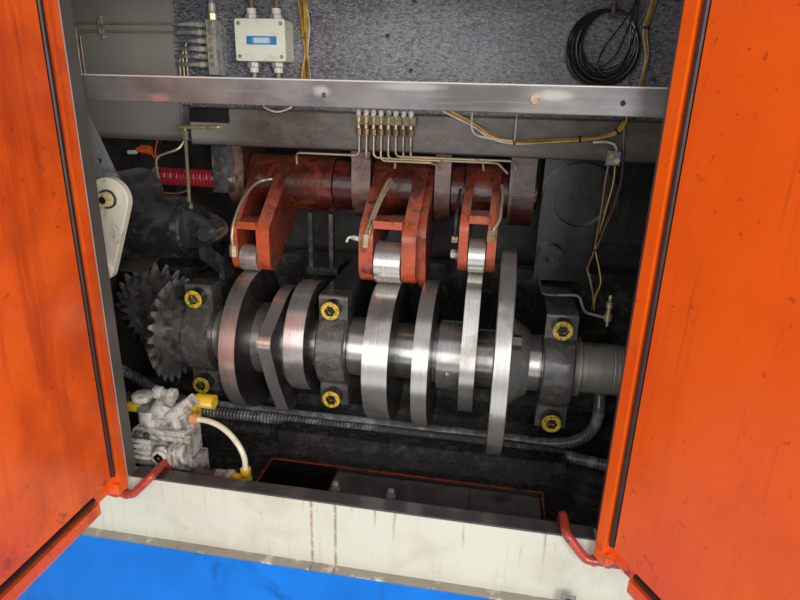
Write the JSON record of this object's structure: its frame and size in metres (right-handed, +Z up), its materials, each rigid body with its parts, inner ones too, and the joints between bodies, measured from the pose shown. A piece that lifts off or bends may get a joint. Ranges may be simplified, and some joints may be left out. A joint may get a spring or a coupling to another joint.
{
  "type": "cold header camshaft bay",
  "caption": "Doored bay of a cold forming machine: cams on a shaft in capped bearings, a bevel drive, roller levers, oil lines and wiring, on a closed base",
  "frame": {"origin": "on the floor under the middle of the base, in the plane of the door opening", "axes": "+X along the camshaft to the right, +Y from the door opening into the machine, +Z up"},
  "size_m": [1.3043, 1.0465, 1.78],
  "materials": {
    "blue_paint": "glossy enamel",
    "cream_paint": "satin, stained",
    "orange_paint": "glossy enamel, oil streaks",
    "dark_sheet": "satin, oily",
    "worn_sheet": "worn bare steel",
    "oily_casting": "painted casting, wet with oil",
    "cap_casting": "black casting, oily",
    "cam_steel": "ground rims, oily sides",
    "shaft_steel": "turned, oily",
    "gear_steel": "cut teeth, oily",
    "screw_steel": "black oxide",
    "bush_bronze": "turned",
    "lever_paint": "red paint on casting, oily",
    "rocker_paint": "dark red paint on casting, oily",
    "pedestal_paint": "brown stained casting",
    "roller_steel": "ground",
    "guard_sheet": "brown, oily",
    "link_paint": "cream, stained",
    "drum_paint": "black, oily",
    "stay_steel": "grey, worn",
    "spring_paint": "dark red",
    "trough_paint": "red brown, oily",
    "hose_rubber": "oily",
    "valve_metal": "grimy",
    "pipe_metal": "yellow fittings",
    "arm_paint": "glossy enamel",
    "manifold_brass": "dull",
    "tube_metal": "dull tube",
    "box_paint": "satin",
    "cable_plastic": "yellow and brown wires",
    "coil_plastic": "black cable"
  },
  "bodies": {
    "machine": {"base_plinth": "blue_paint", "bay_floor": "oily_casting", "apron": "cream_paint", "sill_strip": "dark_sheet", "enclosure": "cream_paint", "guard_rail": "worn_sheet", "cover_screws": "screw_steel", "wall_casting": "oily_casting", "side_casting": "oily_casting", "bed_casting": "oily_casting", "bearing_cap_left": "cap_casting", "bearing_cap_middle": "cap_casting", "bearing_cap_right": "cap_casting", "cap_screws": "screw_steel", "bearing_bushes": "bush_bronze", "cross_bearing": "oily_casting", "gear_guard": "guard_sheet", "rocker_shaft": "rocker_paint", "rocker_pedestals": "pedestal_paint", "link_bolt": "screw_steel", "drive_drum": "drum_paint", "drum_bracket": "stay_steel", "stay_bar": "stay_steel", "return_spring": "spring_paint", "spring_rod": "shaft_steel", "spring_guide": "oily_casting", "oil_trough": "trough_paint", "trough_plates": "dark_sheet", "hoses": "hose_rubber", "air_valve": "valve_metal", "air_pipes": "pipe_metal", "hinge_arms": "arm_paint", "oil_manifolds": "manifold_brass", "oil_tubes": "tube_metal", "junction_box": "box_paint", "cable_bundle": "cable_plastic", "cable_coil": "coil_plastic"},
    "camshaft_group": {"camshaft": "shaft_steel", "camshaft_bevel_gear": "gear_steel", "cam_1": "cam_steel", "cam_2": "cam_steel", "cam_3": "cam_steel", "cam_4": "cam_steel", "cam_5": "cam_steel", "cam_6": "cam_steel", "cam_7": "cam_steel", "cam_bolt": "screw_steel"},
    "cross_gear": {"cross_bevel_gear": "gear_steel"},
    "link": {"link_plate": "link_paint"},
    "left_door": {"door_left": "orange_paint"},
    "right_door": {"door_right": "orange_paint"},
    "lever_1": {"rocker_lever_1": "lever_paint", "roller_pin_1": "screw_steel"},
    "roller_body_1": {"roller_1": "roller_steel"},
    "lever_2": {"rocker_lever_2": "lever_paint", "roller_pin_2": "screw_steel"},
    "roller_body_2": {"roller_2": "roller_steel"},
    "lever_3": {"rocker_lever_3": "lever_paint", "roller_pin_3": "screw_steel"},
    "roller_body_3": {"roller_3": "roller_steel"}
  },
  "joints": [
    {"name": "camshaft_turn", "type": "hinge", "parent": "machine", "child": "camshaft_group", "pos_m": [0, 0.3, 1.008], "axis": [1, 0, 0], "continuous": true},
    {"name": "cross_gear_turn", "type": "hinge", "parent": "machine", "child": "cross_gear", "pos_m": [-0.639, 0.45, 1.008], "axis": [0, 1, 0], "continuous": true},
    {"name": "lever_1_lift", "type": "hinge", "parent": "machine", "child": "lever_1", "pos_m": [-0.3615, 0.45, 1.306], "axis": [-1, 0, 0], "range_deg": [0, 5]},
    {"name": "lever_2_lift", "type": "hinge", "parent": "machine", "child": "lever_2", "pos_m": [-0.086, 0.45, 1.306], "axis": [-1, 0, 0], "range_deg": [0, 5]},
    {"name": "lever_3_lift", "type": "hinge", "parent": "machine", "child": "lever_3", "pos_m": [0.0755, 0.45, 1.306], "axis": [-1, 0, 0], "range_deg": [0, 5]},
    {"name": "roller_1_turn", "type": "hinge", "parent": "lever_1", "child": "roller_body_1", "pos_m": [-0.3615, 0.3, 1.1763], "axis": [1, 0, 0], "continuous": true},
    {"name": "roller_2_turn", "type": "hinge", "parent": "lever_2", "child": "roller_body_2", "pos_m": [-0.086, 0.3, 1.1863], "axis": [1, 0, 0], "continuous": true},
    {"name": "roller_3_turn", "type": "hinge", "parent": "lever_3", "child": "roller_body_3", "pos_m": [0.0755, 0.3, 1.2103], "axis": [1, 0, 0], "continuous": true},
    {"name": "link_swing", "type": "hinge", "parent": "machine", "child": "link", "pos_m": [-0.546, 0.15, 1.305], "axis": [0, 1, 0], "range_deg": [-6, 6]},
    {"name": "left_door_swing", "type": "hinge", "parent": "machine", "child": "left_door", "pos_m": [-0.4825, -0.016, 1.275], "axis": [0, 0, 1], "range_deg": [0, 90]},
    {"name": "right_door_swing", "type": "hinge", "parent": "machine", "child": "right_door", "pos_m": [0.3015, -0.016, 1.275], "axis": [0, 0, 1], "range_deg": [-120, 0]}
  ],
  "couplings": [
    {"joint": "cross_gear_turn", "follows": "camshaft_turn", "ratio": -1}
  ]
}
